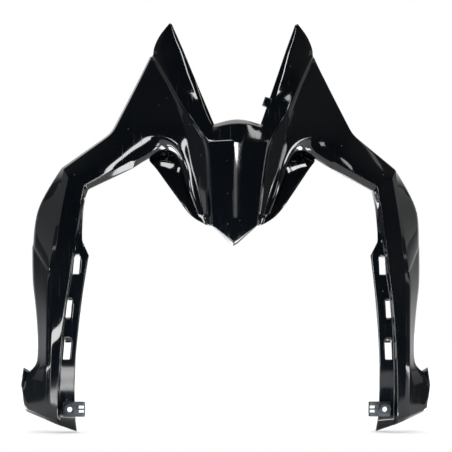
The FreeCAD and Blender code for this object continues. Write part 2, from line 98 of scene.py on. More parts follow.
# %% Lines of the leg, from the bottom of the foot to the mitre at the shoulder
NUT_X = 135.7
LEG = {
    "rim": (
        (35.8, -2.6, -9.5), (38.8, 0.6, -8), (39.5, 6.8, -8), (40, 11.9, -8), (40.9, 20, -8),
        (33.3, 32.4, -7.5), (28.6, 37, -8.5), (26.9, 42.8, -9.2), (26.5, 57.7, -9.3), (28.1, 80.6, -9.5),
        (30.1, 97.1, -10.4), (31.6, 109.4, -11), (31.6, 138.4, -15), (30.9, 141.2, -12.5),
        (30.6, 150, -11), (29.8, 160, -8), (27, 176, -3), (7.9, 206.2, -1)),
    "side": (
        (33.2, -3.8, -7.5), (35.5, -1, -4.8), (36, 5.9, -5), (36.2, 11.6, -5.1), (36.4, 20.6, -5.2),
        (30, 30.6, -4.6), (25, 37.6, -2), (24, 43.3, -1.3), (23.6, 58, -0.8), (24.3, 80.2, -0.6),
        (25.3, 96.2, -0.8), (26.1, 108, -1), (26.1, 129, -5), (25.2, 131, -2.4), (24.1, 143, -1),
        (22.4, 155, 0.5), (19, 176.5, 3.5), (7.7, 206, 4)),
    "ridge": (
        (20.6, -9, -2), (21.6, -5.8, 4), (20.9, -1.8, 5), (20.8, 5.6, 5.3), (20.6, 17.5, 5.8),
        (20.8, 29.8, 6.5), (20.9, 38, 7), (20.9, 43.8, 7.1), (20.9, 58.3, 7.6), (20.8, 79.8, 8.1),
        (20.7, 94.8, 8.3), (20.7, 106, 8.5), (19.7, 117.5, 8.3), (18.9, 120, 9.8), (17.1, 135.5, 10.3),
        (14.8, 150, 10.5), (10.8, 177, 9.5), (7.1, 205.4, 9.5)),
    "crease": (
        (17, -10.6, -0.6), (17.2, -6.6, 5), (17.2, -2.2, 6.1), (17.2, 5.2, 6.5), (17.2, 17, 7.2),
        (17.1, 29.4, 8.1), (17, 37.5, 8.7), (16.9, 43.6, 8.9), (16.8, 58.3, 9.5), (16.5, 79.6, 10.1),
        (16.3, 94.5, 10.3), (16.2, 105.5, 10.5), (15.5, 116.5, 10.8), (15, 119, 11.2), (13.8, 134, 12.2),
        (12.1, 148.5, 13), (8.1, 176, 12.5), (3.5, 198.6, 15)),
    "lip": (
        (10.2, -13.4, -0.4), (10.5, -7.9, 5), (10.6, -3.2, 6.1), (10.6, 4.4, 6.4), (10.6, 16.5, 7),
        (10, 29, 8), (9.6, 37, 8.7), (9.3, 43.1, 9.1), (8.3, 57.8, 10.6), (6.4, 79.1, 13),
        (4.9, 94, 14.7), (3, 105, 16), (1.5, 115.5, 16.8), (1.2, 118, 17.1), (-0.4, 132.8, 18),
        (-2.4, 146, 18.4), (-6.2, 172.5, 17.5), (-10, 192.5, 20)),
    "root": (
        (8, -14.3, -3), (8.4, -9.2, 0), (8.5, -3.8, 0), (8.5, 3.8, 0), (8.5, 16, 0), (8.2, 28.6, 1.5),
        (7.9, 36.5, 2.5), (7.6, 42.6, 3.1), (6.7, 57.3, 4.9), (5.3, 78.6, 7.5), (3.7, 93.5, 9.2),
        (1.4, 104.5, 10.5), (-0.2, 113.2, 11.6), (-0.5, 115.9, 11.9), (-1.8, 130.7, 13.6),
        (-4.6, 145.5, 15), (-8.5, 171.5, 12.5), (-13.3, 187.6, 17)),
    "flange": (
        (-6.6, -19.3, -3.4), (-5.6, -10.4, 0), (-5, -4.7, 0), (-4.7, 3.2, 0), (-4.3, 16, 0),
        (-4.6, 28.6, 1.5), (-4.8, 36.5, 2.5), (-5, 42.6, 3.1), (-5.9, 57.3, 4.9), (-7.8, 78.6, 7.5),
        (-9.5, 93.5, 9.2), (-10.7, 104.5, 10.5), (-12, 113.2, 11.6), (-12.3, 115.9, 11.9),
        (-14.7, 132, 13.8), (-8.6, 145, 14.5), (-9.8, 171, 8.5), (-13.6, 187.2, 8)),
}
FOOT_TAB = (38.8, 35.4, -9.5)
CORNER = {"rim": (103.3, 236.4, 18), "side": (103.2, 236.2, 24), "ridge": (103, 236, 29),
          "crease": (92, 219.5, 33.5), "lip": (87.5, 213, 31.5), "root": (85, 206.8, 28),
          "flange": (84.8, 206.6, 17.5)}
print(len(LEG), "leg lines with", len(LEG["rim"]), "stations each")

# %% Lines of the scoop, the tongue and the fin
ARCH = {
    "crease": ((79, 226.5, 36.5), (72, 229, 38.8), (65, 230.5, 41), (57.5, 229.6, 43.6),
               (50.5, 226, 46.4), (45.5, 222, 48.2)),
    "lip": ((72, 220, 35.3), (66, 223.6, 37.2), (59.5, 225.6, 39), (52.8, 223.6, 41.4),
            (46.8, 217, 43.8), (42.6, 209.5, 45.2)),
    "edge": ((70.7, 214.9, 31.5), (65, 218.5, 32), (58.3, 220.8, 33), (53.3, 218.9, 35),
             (48.9, 213.5, 37.5), (45, 207, 39.8)),
    "back": ((70.5, 215.2, 23), (65, 219.3, 23), (58.3, 221.6, 23.5), (52.9, 219.6, 25.5),
             (48.3, 214.1, 29), (44.3, 207.4, 33)),
    "fin": ((71.3, 213.2, 25), (66.5, 208, 28.5), (62, 201.5, 31), (57, 194.3, 33),
            (52.3, 187.6, 35), (48, 181.5, 36.5)),
}
TONGUE = {
    "lip": ((39, 194.2, 44.4), (33.2, 180, 42.3)),
    "edge": ((41.5, 193.4, 41), (36, 179, 39.6)),
    "back": ((40.9, 193.6, 36), (35.8, 179.2, 36.6)),
    "fin": ((42.5, 173.7, 38), (36.5, 166.5, 38.5), (29.5, 161.8, 38.5)),
}
TONGUE_END = (30.4, 168.6, 39)
FIN_CROWN = 2.4
print("scoop lines:", ", ".join(ARCH), "and tongue lines:", ", ".join(TONGUE))

# %% Lines of the raised centre and the horns
CENTRE = {
    "valley": (
        (69.7, 301.5, 24.5), (57.5, 278, 38.5), (47.3, 255.5, 52), (42.5, 236, 52), (40.6, 227, 50.2),
        (37.5, 212, 47), (32.3, 193.4, 45), (28, 178, 42), (25.5, 168, 40), (24.6, 163.3, 39.2),
        (23.7, 158.8, 38.5)),
    "shoulder": (
        (69.2, 302.8, 25.8), (56.2, 278.4, 40.2), (45.4, 255.8, 54.5), (35.4, 241.8, 59.6),
        (27.6, 229.5, 63.2), (26.1, 212, 57.2), (24.7, 193, 51), (23.2, 178, 46.3), (22.3, 168, 43.2),
        (21.9, 163, 41.8), (21.5, 158.8, 40.6)),
    "front": (
        (68.5, 304.2, 27.2), (54.9, 279, 43.2), (43.6, 256, 58), (34.5, 243.3, 63.6), (25.4, 230.2, 69.2),
        (23, 212, 63.2), (21.6, 193, 57), (20.5, 178, 52.2), (19.8, 168, 49), (19.4, 163, 47.3),
        (19, 158.5, 46)),
    "inner": ((43.1, 304, 40), (33.1, 279, 49.3), (24, 256, 58), (21.3, 249.2, 60.5), (19.7, 245.2, 62)),
    "band": ((3.7, 231.4, 72.15), (3.7, 212, 65.95), (3.7, 193, 59.75), (3.7, 178, 54.85),
             (3.7, 168, 51.55), (3.6, 160, 48.95), (3.2, 143.3, 41.2)),
    "ridge": ((0, 231.5, 72.2), (0, 212, 66), (0, 193, 59.8), (0, 178, 54.9), (0, 168, 51.6),
              (0, 160, 49), (0, 141.4, 41)),
}
LEDGE_TOP = ((10, 248.4, 63.1), (3.5, 249.3, 63.5), (0, 249.5, 63.5))
HORN = {
    "rim": ((91.3, 259.3, 16.5), (80.2, 280.7, 15.5), (69.9, 301.7, 15)),
    "side": ((91.2, 259.2, 22), (80.1, 280.6, 20.8), (69.8, 301.6, 19.8)),
    "outer": ((91, 259, 27.5), (80, 280.5, 26)),
    "tip_outer": ((68.7, 308, 27.2), (64.4, 318.5, 28), (58.9, 325.5, 29), (54.7, 330.3, 30)),
    "tip_inner": ((44.7, 308, 38.5), (48.9, 318.5, 34.5), (51.7, 325.5, 31.9), (53.2, 329.4, 30.4)),
}
print("centre lines:", ", ".join(CENTRE), "and horn lines:", ", ".join(HORN))


# %% Points from stations
def point(station, from_x=0.0):
    """A station in millimetres as a point in metres."""
    x, z, depth = station
    return Vector((from_x + x, -depth, z)) * MM


def line(stations, from_x=0.0):
    """A row of stations as points."""
    return [point(station, from_x) for station in stations]


leg = {name: line(stations, NUT_X) for name, stations in LEG.items()}
corner = {name: point(station) for name, station in CORNER.items()}
arch = {name: line(stations) for name, stations in ARCH.items()}
tongue = {name: line(stations) for name, stations in TONGUE.items()}
tongue_end = point(TONGUE_END)
centre = {name: line(stations) for name, stations in CENTRE.items()}
horn = {name: line(stations) for name, stations in HORN.items()}
print("the right foot reaches", round(max(p.x for p in leg["rim"]) / MM, 1), "mm from the middle")

# %% [markdown]
# ## From lines to a sheet
#
# The moulding is a sheet of even thickness, so a single sheet of quads is modelled first. A chain of
# edges is laid across the lines at one station, and it is extruded from station to station, as a
# sheet of clay would be pulled. Drawing a solid block and hollowing it would be harder to control.
# The lines that are crisp on the real cover are written down with the width of their rounding.

# %% Extrude a chain of edges from station to station
skin = bmesh.new()
crisp = []


def sweep(rows, crisp_columns=None, crisp_rows=None):
    """Lay the first row as a chain of edges and extrude it through the other rows.

    A crisp column gives (first row, last row, rounding in millimetres), and a crisp row gives
    (first column, last column, rounding in millimetres).
    """
    chain = [skin.verts.new(place) for place in rows[0]]
    edges = [skin.edges.new(pair) for pair in zip(chain, chain[1:])]
    for row in rows[1:]:
        grown = bmesh.ops.extrude_edge_only(skin, edges=edges)["geom"]
        fresh = {item for item in grown if isinstance(item, bmesh.types.BMVert)}
        ahead = [next(edge.other_vert(vert) for edge in vert.link_edges if edge.other_vert(vert) in fresh)
                 for vert in chain]
        for vert, place in zip(ahead, row):
            vert.co = place
        chain = ahead
        edges = [skin.edges.get(pair) for pair in zip(chain, chain[1:])]
    for column, (first, last, width) in (crisp_columns or {}).items():
        for index in range(first, last):
            crisp.append((rows[index][column], rows[index + 1][column], width))
    for index, (first, last, width) in (crisp_rows or {}).items():
        for column in range(first, last):
            crisp.append((rows[index][column], rows[index][column + 1], width))
    print("swept", len(rows), "rows of", len(rows[0]), "points")


# %% [markdown]
# ## Legs and arms
#
# Each leg has seven lines: a rim, a soft side line, a ridge, a crease beside it, a lip, the root of
# the flange and the flange's edge. Two more lines run along the flange, so that the three slots and
# the screw hole are simply cells that are left out later, and no cutter is needed. The arm goes on
# from the mitre at the shoulder to the corner under the horn.

# %% Rows of the leg and the arm
# x of two more lines, from the axis of the clip nut, at each station that has a flange
SLOT_LINES = {
    "slot_outer": (3.5, 3.6, 3.76, 3.76, 4.8, 5.4, 5.7, 6.05, 4.95, 4.5, 2.9, 0.4, -1.0, -1.1, -2.3, -5.8),
    "slot_inner": (-2.5, -3.0, -3.76, -3.76, -1.5, -0.6, 0.2, 0.25, -0.85, 0.05, -1.05, -4.6, -6.2, -6.6,
                   -7.6, -7.3),
}
LEG_ORDER = ("rim", "side", "ridge", "crease", "lip", "root", "flange")
RIM, SIDE, RIDGE, CREASE, LIP, ROOT, SLOT_OUTER, SLOT_INNER, FLANGE = range(9)
ARM_SHARES = (0.2, 0.78)
leg_rows = []
for index, (*outer_lines, root, flange) in enumerate(zip(*(leg[name] for name in LEG_ORDER))):
    if index < len(SLOT_LINES["slot_outer"]):
        extra = []
        for xs in SLOT_LINES.values():
            share = ((NUT_X + xs[index]) * MM - root.x) / (flange.x - root.x)
            extra.append(root.lerp(flange, share))
    else:
        extra = [root.copy(), flange.copy()]
    leg_rows.append(outer_lines + [root] + extra + [flange])
corner_row = [corner[name] for name in LEG_ORDER]
corner_row[SLOT_OUTER:SLOT_OUTER] = [corner["root"].copy(), corner["flange"].copy()]
arm_rows = [[start.lerp(end, share) for start, end in zip(leg_rows[-1], corner_row)] for share in ARM_SHARES]
print(len(leg_rows), "rows on the leg,", len(arm_rows), "on the arm")

# %% Leg, arm and foot tab
FOOT_EDGE, FOOT_TOP, FLARE_TOP, SIDE_STEP, FLANGE_END = 1, 6, (4, 5), (12, 13), (14, 15)  # rows
mitre = len(leg_rows) - 1
arm_end = mitre + len(arm_rows) + 1
sweep(leg_rows + arm_rows + [corner_row],
      crisp_columns={RIDGE: (0, arm_end, 0.4), CREASE: (0, mitre, 0.4), LIP: (0, arm_end, 0.45),
                     ROOT: (0, arm_end, 0.4), SIDE: (FOOT_EDGE, FOOT_TOP, 1.0)},
      crisp_rows={FOOT_EDGE: (RIM, FLANGE, 0.8), SIDE_STEP[0]: (RIM, RIDGE, 0.7),
                  SIDE_STEP[1]: (RIM, RIDGE, 0.7), mitre: (RIM, FLANGE, 0.8)})
foot_tab = point(FOOT_TAB, NUT_X)
sweep([[leg_rows[row][RIM] for row in FLARE_TOP], [foot_tab] * 2])

# %% [markdown]
# ## Panels, scoops and fins
#
# Between the arm and the beak the lower edge rises in an arch, turns under in a lip and carries a
# crowned fin that runs down to a point beside the beak. These could be one large net, but three
# small ones are easier to follow. The panel, the tongue and the fin share their edge points, so they
# close up when the points are merged later.

# %% Panel above the arch
HORN_FOOT, ARCH_END, TONGUE_TIP = 3, 5, 8  # stations of the valley line
FIRST_SHARE, SHARE_STEP = 0.17, 0.142
ARCH_BACK = 4
PANEL_SHARES = [FIRST_SHARE + SHARE_STEP * index for index in range(len(ARCH["lip"]))]
valley = centre["valley"]
joint = [corner["ridge"].lerp(valley[HORN_FOOT], share) for share in [0.0] + PANEL_SHARES + [1.0]]
panel_start = [corner[name] for name in ("ridge", "crease", "lip", "root", "flange")]
arch_lines = [arch[name] for name in ("crease", "lip", "edge", "back")]
arch_rows = [list(row) for row in zip(joint[1:-1], *arch_lines)]
sweep([panel_start] + arch_rows, crisp_columns={ARCH_BACK: (1, len(arch_rows), 0.4)})
sweep([arch_rows[-1][:3], valley[HORN_FOOT:ARCH_END + 1]])

# %% Tongue beside the beak
TONGUE_BACK = 3
tongue_lines = [tongue[name] for name in ("lip", "edge", "back")]
tongue_rows = [[valley[ARCH_END]] + arch_rows[-1][2:]]
tongue_rows += [list(row) for row in zip(valley[ARCH_END + 1:TONGUE_TIP], *tongue_lines)]
tongue_rows.append([valley[TONGUE_TIP]] + [tongue_end] * 3)
sweep(tongue_rows, crisp_columns={TONGUE_BACK: (0, 2, 0.4)})

# %% Crowned fin
fin_roots = arch["back"] + tongue["back"] + [tongue_end]
fin_edges = arch["fin"] + tongue["fin"]
fin_rows = []
for index, (root, edge) in enumerate(zip(fin_roots, fin_edges)):
    crown = FIN_CROWN * MM * math.sin(math.pi * index / (len(fin_roots) - 1))
    fin_rows.append([root, root.lerp(edge, 0.5) + Vector((0, -crown, 0)), edge])
sweep(fin_rows + [valley[TONGUE_TIP:]])

# %% [markdown]
# ## Horns, centre and beak
#
# The horns stand up from the panels. A steep wall separates each panel from the raised centre, whose
# front face is the beak with a narrow band along its middle and a ledge on top. They are swept like
# the legs, and a row close to the horn's foot keeps that corner tight when the sheet is smoothed.

# %% Horn panel
NEAR = 0.3
HORN_OUTER = 2
outers = horn["outer"] + valley[:1]
horn_rows = [[corner["rim"], corner["side"]] + joint]
for rim, side, outer, inner in zip(horn["rim"], horn["side"], outers, reversed(valley[:HORN_FOOT])):
    across = [outer.lerp(inner, share) for share in PANEL_SHARES]
    horn_rows.append([rim, side, outer] + across + [inner])
horn_start = [start.lerp(end, NEAR) for start, end in zip(horn_rows[0], horn_rows[1])]
sweep([horn_rows[0], horn_start] + horn_rows[1:], crisp_columns={HORN_OUTER: (0, 3, 0.8)})

# %% Steep wall, inner strip and horn tip
VALLEY, SHOULDER, FRONT = range(3)
wall_rows = [list(row) for row in zip(valley, centre["shoulder"], centre["front"])]
near_corner = [row.lerp(other, NEAR) for row, other in zip(wall_rows[HORN_FOOT], wall_rows[HORN_FOOT - 1])]
wall_rows.insert(HORN_FOOT, near_corner)
sweep(wall_rows, crisp_columns={VALLEY: (1, 9, 0.8), SHOULDER: (1, 9, 0.9), FRONT: (1, 11, 0.9)})
inner_line = centre["inner"]
strip_rows = [list(row) for row in zip(centre["front"], inner_line)]
near_inner = inner_line[HORN_FOOT].lerp(inner_line[HORN_FOOT - 1], NEAR)
strip_rows.insert(HORN_FOOT, [near_corner[FRONT], near_inner])
sweep(strip_rows)
sweep([strip_rows[0]] + [list(row) for row in zip(horn["tip_outer"], horn["tip_inner"])])

# %% Beak and ledge
BEAK_TOP = 4  # station of the front line
BEAK_SHARE = 0.6
BAND, MIDDLE = 2, 3
beak_rows = []
for front, band, ridge in zip(centre["front"][BEAK_TOP:], centre["band"], centre["ridge"]):
    beak_rows.append([front, front.lerp(band, BEAK_SHARE), band, ridge])
sweep(beak_rows, crisp_columns={BAND: (0, len(beak_rows) - 1, 0.35)}, crisp_rows={0: (0, MIDDLE, 0.6)})
sweep([beak_rows[0], [inner_line[BEAK_TOP]] + line(LEDGE_TOP)], crisp_columns={MIDDLE: (0, 1, 0.3)})

# %% [markdown]
# ## Close the sheet and cut the slots
#
# The strips meet in the same points, so merging doubles sews them together, and a mirror makes the
# left half. Then the cells of the three slots and of the screw hole are deleted on both flanges.
# A boolean cut would do it too, but it would leave long, thin faces that smooth badly.

# %% Sew, mirror and cut
SAME = 0.02 * MM
bmesh.ops.remove_doubles(skin, verts=skin.verts[:], dist=SAME)
bmesh.ops.mirror(skin, geom=skin.verts[:] + skin.edges[:] + skin.faces[:], axis="X", merge_dist=SAME)
bmesh.ops.remove_doubles(skin, verts=skin.verts[:], dist=SAME)
bmesh.ops.recalc_face_normals(skin, faces=skin.faces[:])
beak_face = min(skin.faces, key=lambda face: face.calc_center_median().y)
if beak_face.normal.y > 0:
    bmesh.ops.reverse_faces(skin, faces=skin.faces[:])


def key(place):
    """A point's place to a tenth of a millimetre, the same on both sides."""
    return tuple(round(value / MM, 1) for value in (abs(place.x), place.y, place.z))


SLOT_CELLS = {"screw hole": 2, "low slot": 7, "middle slot": 9, "high slot": 13}  # rows of the leg
SLOT_CREASE = 1.0
slot_corners = {}
for name, index in SLOT_CELLS.items():
    corners = {key(leg_rows[row][column]) for row in (index, index + 1)
               for column in (SLOT_OUTER, SLOT_INNER)}
    cells = [face for face in skin.faces if {key(vert.co) for vert in face.verts} == corners]
    bmesh.ops.delete(skin, geom=cells, context="FACES")
    if name != "screw hole":
        slot_corners.update(dict.fromkeys(corners, SLOT_CREASE))
    print("cut", name, "in", len(cells), "flanges")

# %% [markdown]
# ## Crisp lines, wall and smoothing
#
# Three modifiers finish the sheet. Bevel rounds the crisp lines by the width that was written down,
# Solidify gives the wall of 2.5 mm behind the visible face, and Subdivision Surface lets every
# panel flow. The first two are turned into a mesh, because the corners of the outline and of the
# slots are creased on the finished wall, so that they stay corners.

# %% Mark the crisp edges and the sharp corners
POINT_CREASE = 0.8
weight = skin.edges.layers.float.new("bevel_weight_edge")
corner_crease = skin.verts.layers.float.new("crease_vert")
widths = {frozenset((key(start), key(end))): width for start, end, width in crisp}
marked = 0
for edge in skin.edges:
    width = widths.get(frozenset(key(vert.co) for vert in edge.verts))
    if width and len(edge.link_faces) == 2:
        edge[weight] = width
        marked += 1
sharp_places = [leg_rows[0][RIM], leg_rows[0][FLANGE], foot_tab, horn["tip_outer"][-1], horn["tip_inner"][-1],
                valley[0], horn["rim"][-1], inner_line[-1], centre["ridge"][-1], tongue_end]
sharp_places += [leg_rows[row][RIM] for row in FLARE_TOP] + [leg_rows[row][FLANGE] for row in FLANGE_END]
sharp_points = slot_corners | {key(place): POINT_CREASE for place in sharp_places}
for vert in skin.verts:
    vert[corner_crease] = sharp_points.get(key(vert.co), 0.0)
print(marked, "crisp edges,", len(sharp_points), "sharp points a side")

# %% Round the crisp lines and give the sheet its wall
WALL = 2.5
RIM_CREASE = 0.9


def mesh_from(build, name):
    """Turn a finished bmesh into a mesh."""
    mesh = bpy.data.meshes.new(name)
    build.to_mesh(mesh)
    build.free()
    return mesh


cover_sheet = put("cover_sheet", mesh_from(skin, "cover_sheet"))
rounding = cover_sheet.modifiers.new("Rounded lines", "BEVEL")
rounding.limit_method = "WEIGHT"
rounding.width = 1.0 * MM  # so an edge's weight is its rounding in millimetres
rounding.segments = 2
rounding.use_clamp_overlap = False
wall = cover_sheet.modifiers.new("Moulded wall", "SOLIDIFY")
wall.thickness = WALL * MM
wall.offset = -1.0
wall.use_even_offset = True
wall.edge_crease_outer = RIM_CREASE
wall.edge_crease_inner = RIM_CREASE
depsgraph = bpy.context.evaluated_depsgraph_get()
cover_mesh = bpy.data.meshes.new_from_object(cover_sheet.evaluated_get(depsgraph))
bpy.data.objects.remove(cover_sheet)
print("wall of", WALL, "mm:", len(cover_mesh.polygons), "cells")

# %% The cover
SHARP = 0.7
walled = bmesh.new()
walled.from_mesh(cover_mesh)
corner_crease = walled.verts.layers.float["crease_vert"]
edge_crease = walled.edges.layers.float["crease_edge"]
for edge in walled.edges:
    if all(vert[corner_crease] > SHARP for vert in edge.verts):
        edge[edge_crease] = 1.0
for vert in walled.verts:
    vert[corner_crease] = 1.0 if vert[corner_crease] > SHARP else 0.0
walled.to_mesh(cover_mesh)
walled.free()
cover_mesh.name = "cover_moulding"
cover_mesh.polygons.foreach_set("use_smooth", [True] * len(cover_mesh.polygons))
cover = put("cover_moulding", cover_mesh)
flow = cover.modifiers.new("Flowing panels", "SUBSURF")
flow.levels = flow.render_levels = 2
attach(cover, "root")
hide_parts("cover")
print("cover cage:", len(cover_mesh.vertices), "points,", len(cover_mesh.polygons), "cells")

# %% [markdown]
# ## The lug on one horn
#
# A small tab stands on the inner edge of one horn and hooks into the part above. It is moulded with
# the horn, and a box with soft edges is enough for it. It is turned along the horn's inner line.

# %% Horn lug
LUG = {"reach": 4.2, "thickness": 2.8, "height": 8.5, "rise": 260.0, "rounding": 0.7}
low, high = inner_line[2], inner_line[1]
upward = (high - low).normalized()
seat = low + upward * ((LUG["rise"] * MM - low.z) / upward.z)
inward = (Vector((-1, 0, 0)) + upward * upward.x).normalized()
forward = upward.cross(inward)
middle = (seat + inward * (LUG["reach"] - WALL) / 2 * MM - forward * LUG["thickness"] / 2 * MM
          + upward * LUG["height"] / 2 * MM)
lug_size = Vector((LUG["reach"] + WALL, LUG["thickness"], LUG["height"])) * MM
lug_axes = Matrix((inward, forward, upward)).transposed().to_4x4()
lug_build = bmesh.new()
bmesh.ops.create_cube(lug_build, size=1.0)
bmesh.ops.scale(lug_build, verts=lug_build.verts[:], vec=lug_size)
bmesh.ops.bevel(lug_build, geom=lug_build.edges[:], offset=LUG["rounding"] * MM, segments=3, profile=0.5,
                affect="EDGES", material=-1)
bmesh.ops.transform(lug_build, verts=lug_build.verts[:], matrix=Matrix.Translation(middle) @ lug_axes)
bmesh.ops.recalc_face_normals(lug_build, faces=lug_build.faces[:])
lug_mesh = mesh_from(lug_build, "horn_lug")
lug_mesh.polygons.foreach_set("use_smooth", [True] * len(lug_mesh.polygons))
lug = put("horn_lug", lug_mesh)
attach(lug, "root")
print("lug at x", round(middle.x / MM, 1), "z", round(middle.z / MM, 1), "mm")

# %% [markdown]
# ## Clip nuts
#
# Each clip nut is bent from spring steel and pushed on the flange, and its barrel takes the screw.
# The CAD solids are right in shape, so they stay, and modifiers finish them: their loose triangles
# are joined, and a small bevel breaks the pressed edges, because no sheet edge is perfectly sharp.

# %% Pressed edges of the clip nuts
PRESSED = {"join": 0.01, "edge": 0.18, "angle": 40}
SIDES = ((1, "right"), (-1, "left"))
clip_nuts = [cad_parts[f"clip_nut_{word}"] for side, word in SIDES]
for clip in clip_nuts:
    weld = clip.modifiers.new("Joined faces", "WELD")
    weld.merge_threshold = PRESSED["join"] * MM
    edges = clip.modifiers.new("Pressed edges", "BEVEL")
    edges.limit_method = "ANGLE"
    edges.angle_limit = math.radians(PRESSED["angle"])
    edges.width = PRESSED["edge"] * MM
    edges.segments = 2
    clip.modifiers.new("Even shading", "WEIGHTED_NORMAL")
print("edges of", PRESSED["edge"], "mm on", len(clip_nuts), "clip nuts")

# %% [markdown]
# ## Threads
#
# A tap cuts the thread in each barrel. A ring of grooves would look much the same from far away, but
# a triangle that is spun round the axis while it moves along it is the true shape, and as easy.

# %% Thread in the barrels
THREAD = {"radius": 2.68, "depth": 0.42, "pitch": 1.0, "turns": 4, "steps": 28, "front": -4.9}
CREST = ((0.0, 0.05), (THREAD["depth"], 0.5), (0.0, 0.95))  # height in millimetres, share of the pitch
threads = []
for side, word in SIDES:
    coil = bmesh.new()
    axis = Vector((side * NUT_X, THREAD["front"], 0)) * MM
    ring = [coil.verts.new(axis + Vector((THREAD["radius"] - height, along * THREAD["pitch"], 0)) * MM)
            for height, along in CREST]
    start = coil.faces.new(ring)
    bmesh.ops.spin(coil, geom=start.edges[:], cent=axis, axis=(0, 1, 0),
                   dvec=(0, THREAD["pitch"] * MM / THREAD["steps"], 0), angle=2 * math.pi * THREAD["turns"],
                   steps=THREAD["turns"] * THREAD["steps"], use_merge=False)
    open_edges = [edge for edge in coil.edges if len(edge.link_faces) == 1]
    bmesh.ops.contextual_create(coil, geom=open_edges)
    bmesh.ops.recalc_face_normals(coil, faces=coil.faces[:])
    thread = put(f"clip_thread_{word}", mesh_from(coil, f"clip_thread_{word}"))
    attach(thread, "root")
    threads.append(thread)
    print("thread", word, "with", len(thread.data.polygons), "faces")

# %% [markdown]
# ## Spring bars
#
# The bend of each clip nut has a window, and two narrow spring bars close it. One lies along the
# plate and follows the bend, so its section is drawn out and then spun round the bend's axis. The
# other stands upright in the window, and a box with broken edges is enough for it.

# %% Spring bars across the clip nuts' windows
BEND = {"x": NUT_X - 11.2, "y": 1.35, "middle": 1.85, "plate_x": NUT_X - 7.6, "sheet": 1.0, "turn": -100,
        "steps": 6}
BAR = {"half": 0.65, "width": 1.9, "height": 6.8, "rounding": 0.15, "angle": 40}
SECTION = ((-BEND["sheet"], -BAR["half"]), (-BEND["sheet"], BAR["half"]), (0, BAR["half"]), (0, -BAR["half"]))
loops = []
for side, word in SIDES:
    bars = bmesh.new()
    start = bars.faces.new([bars.verts.new(Vector((BEND["plate_x"], y, z)) * MM) for y, z in SECTION])
    drawn = bmesh.ops.extrude_edge_only(bars, edges=start.edges[:])["geom"]
    ends = [item for item in drawn if isinstance(item, bmesh.types.BMVert)]
    bmesh.ops.translate(bars, verts=ends, vec=Vector((BEND["x"] - BEND["plate_x"], 0, 0)) * MM)
    front = [edge for edge in bars.edges if all(vert in ends for vert in edge.verts)]
    bmesh.ops.spin(bars, geom=front, cent=Vector((BEND["x"], BEND["y"], 0)) * MM, axis=(0, 0, 1),
                   angle=math.radians(BEND["turn"]), steps=BEND["steps"], use_merge=False)
    bmesh.ops.contextual_create(bars, geom=[edge for edge in bars.edges if len(edge.link_faces) == 1])
    upright = bmesh.ops.create_cube(bars, size=1.0)["verts"]
    bmesh.ops.scale(bars, verts=upright, vec=Vector((BEND["sheet"], BAR["width"], BAR["height"])) * MM)
    bmesh.ops.translate(bars, verts=upright, vec=Vector((BEND["x"] - BEND["middle"], BEND["y"], 0)) * MM)
    bmesh.ops.scale(bars, verts=bars.verts[:], vec=(side, 1, 1))
    bmesh.ops.recalc_face_normals(bars, faces=bars.faces[:])
    sharp = [edge for edge in bars.edges if edge.calc_face_angle(0.0) > math.radians(BAR["angle"])]
    bmesh.ops.bevel(bars, geom=sharp, offset=BAR["rounding"] * MM, segments=2, profile=0.5, affect="EDGES",
                    material=-1)
    loop = put(f"clip_loop_{word}", mesh_from(bars, f"clip_loop_{word}"))
    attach(loop, "root")
    loops.append(loop)
    reach = max(abs(vert.co.x) for vert in loop.data.vertices) / MM
    print("spring bars", word, "with", len(loop.data.polygons), "faces, out to", round(reach, 1), "mm")

# %% [markdown]
# ## Finishes
#
# Two small helpers serve all the materials: one turns a hex colour to linear light, the other adds a
# node with its settings and links. Building the nodes by hand in the editor gives the same materials,
# but a script can be read and run again.

# %% Helpers for materials
def linear(code, alpha=1.0):
    """A colour such as "#101216" in linear light."""
    parts = [int(code[place:place + 2], 16) / 255 for place in (1, 3, 5)]
    return tuple(part / 12.92 if part <= 0.04045 else ((part + 0.055) / 1.055) ** 2.4
                 for part in parts) + (alpha,)


def add(tree, kind, links=None, **settings):
    """Add a node, set its fields, and link or fill its inputs."""
    node = tree.nodes.new(kind)
    for name, value in settings.items():
        setattr(node, name, value)
    for socket, source in (links or {}).items():
        if isinstance(source, bpy.types.NodeSocket):
            tree.links.new(source, node.inputs[socket])
        else:
            node.inputs[socket].default_value = source
    return node


print("mid grey is", round(linear("#808080")[0], 3), "in linear light")

# %% [markdown]
# ## Gloss black plastic
#
# The cover is injection moulded ABS from a polished mould. It is nearly black with a trace of blue,
# and its gloss wanders a little, because the melt cools unevenly. Handling leaves fine scuffs and a
# few dust specks. All the patterns are laid out in the part's own millimetres. Real scuffs and specks
# are a tenth of a millimetre or less, too fine to show, so they are drawn several times as coarse.

# %% Polished moulded ABS: deep black, sharp mirror lines, a slight wander in the gloss
FLOW = 45  # millimetres, the size of the clouds in the gloss
GLOSS = (0.045, 0.085)  # roughness of the most and the least polished places
abs_black = bpy.data.materials.new("moulded_gloss_black_abs")
abs_black.use_nodes = True
tree = abs_black.node_tree
shader = tree.nodes["Principled BSDF"]
shader.inputs["IOR"].default_value = 1.54
place = add(tree, "ShaderNodeTexCoord").outputs["Object"]
wander = add(tree, "ShaderNodeTexNoise", {"Vector": place, "Scale": 1 / (FLOW * MM), "Detail": 2.0})
gloss = add(tree, "ShaderNodeMapRange", {"Value": wander.outputs["Fac"], "From Min": 0.3, "From Max": 0.7,
                                         "To Min": GLOSS[0], "To Max": GLOSS[1]})
print("gloss clouds of", FLOW, "mm")

